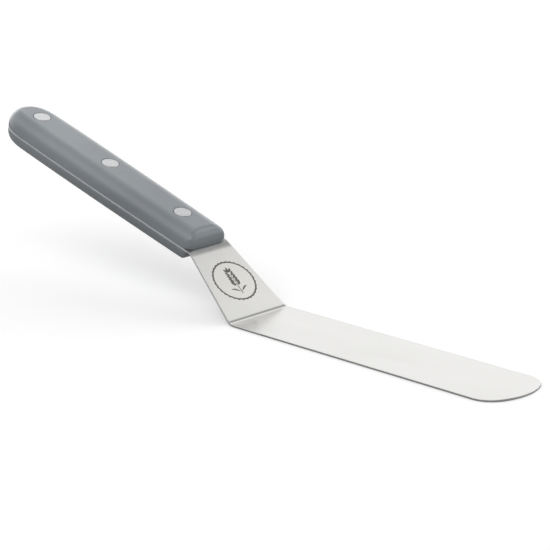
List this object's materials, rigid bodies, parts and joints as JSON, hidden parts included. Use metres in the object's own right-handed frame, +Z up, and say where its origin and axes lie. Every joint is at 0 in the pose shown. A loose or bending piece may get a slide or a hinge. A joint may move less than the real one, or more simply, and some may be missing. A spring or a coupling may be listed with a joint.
{
  "type": "offset spatula",
  "caption": "Cranked icing spatula: rounded flat steel blade, raised slope and full tang riveted between two glossy grey handle scales.",
  "frame": {"origin": "on the underside of the blade, on its centreline, where the flat begins at the heel bend", "axes": "+X along the blade from heel to tip, +Y across the blade, +Z up from the blade's upper face"},
  "size_m": [0.2905, 0.032, 0.0647],
  "materials": {
    "blade_steel": "fine lengthwise brushed, polished rim",
    "handle": "glossy, polished resin",
    "rivet_metal": "ground flush, satin"
  },
  "bodies": {
    "root": {"blade": "blade_steel", "upper_scale": "handle", "lower_scale": "handle", "front_rivet_post": "rivet_metal", "front_rivet_cap": "rivet_metal", "middle_rivet_post": "rivet_metal", "middle_rivet_cap": "rivet_metal", "rear_rivet_post": "rivet_metal", "rear_rivet_cap": "rivet_metal"}
  },
  "joints": []
}
